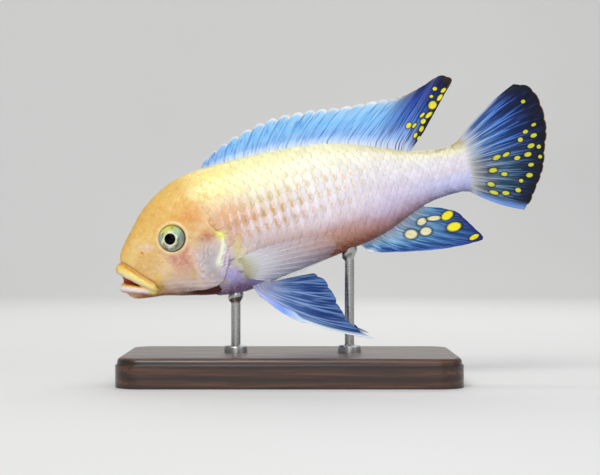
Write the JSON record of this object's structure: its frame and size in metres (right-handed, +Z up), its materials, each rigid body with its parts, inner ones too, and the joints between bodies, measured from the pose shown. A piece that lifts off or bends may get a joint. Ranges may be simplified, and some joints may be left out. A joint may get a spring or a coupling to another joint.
{
  "type": "display fish model",
  "caption": "Life-size cichlid fish swimming nose down with all fins spread, held over a flat wooden base by short steel rods.",
  "frame": {"origin": "centre of the base's underside, where the stand rests", "axes": "+X towards the tail, -Y towards the fish's left side, +Z up; the fish points 15 degrees nose down"},
  "size_m": [0.1196, 0.052, 0.0844],
  "materials": {
    "head_skin": "painted resin, golden, lightly varnished",
    "body_skin": "painted resin, cream to lavender, lightly varnished",
    "eye": "polished, silver-green iris with a black pupil",
    "blue_fin": "painted resin, blue, dark towards the edges",
    "pale_fin": "painted resin, pale, lightly varnished",
    "dark_wood": "dark stained, satin",
    "steel": "brushed"
  },
  "bodies": {
    "root": {"head": "head_skin", "gill_cover_left": "head_skin", "gill_cover_right": "head_skin", "trunk": "body_skin", "tail_stalk": "body_skin", "eye_left": "eye", "eye_right": "eye", "dorsal_fin": "blue_fin", "anal_fin": "blue_fin", "tail_fin": "blue_fin", "pectoral_fin_left": "pale_fin", "pectoral_fin_right": "pale_fin", "pelvic_fin_left": "pale_fin", "pelvic_fin_right": "pale_fin", "stand_base": "dark_wood", "stand_rod_front": "steel", "stand_rod_rear": "steel"}
  },
  "joints": []
}
